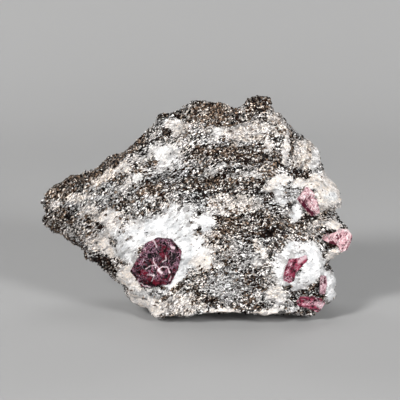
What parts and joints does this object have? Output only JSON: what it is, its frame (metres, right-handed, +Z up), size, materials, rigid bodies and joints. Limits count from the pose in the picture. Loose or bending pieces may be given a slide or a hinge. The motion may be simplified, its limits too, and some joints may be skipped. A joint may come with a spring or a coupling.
{
  "type": "corundum in mica schist",
  "caption": "Hand-sized block of mica schist with a large ruby-red corundum crystal in a pale feldspar halo and smaller pink crystals along its right side.",
  "frame": {"origin": "on the ground line, under the middle of the specimen's box", "axes": "+X along the specimen's length, from the thin left wing to the side with the small crystals; -Y is the face with the large crystal; +Z up"},
  "size_m": [0.0896, 0.0412, 0.0633],
  "materials": {
    "schist": "rough broken rock, black and bronze mica with white and cream feldspar grains",
    "corundum_dark_red": "glassy broken crystal face with fine pale cracks",
    "corundum_red": "glassy broken crystal face",
    "corundum_pink": "dull broken crystal face",
    "corundum_pale_pink": "dull broken crystal face"
  },
  "bodies": {
    "root": {"mica_schist": "schist", "corundum_large": "corundum_dark_red", "corundum_upper_right": "corundum_pink", "corundum_right_edge": "corundum_pale_pink", "corundum_in_knob": "corundum_red", "corundum_sliver": "corundum_pink", "corundum_bottom_right": "corundum_red"}
  },
  "joints": []
}
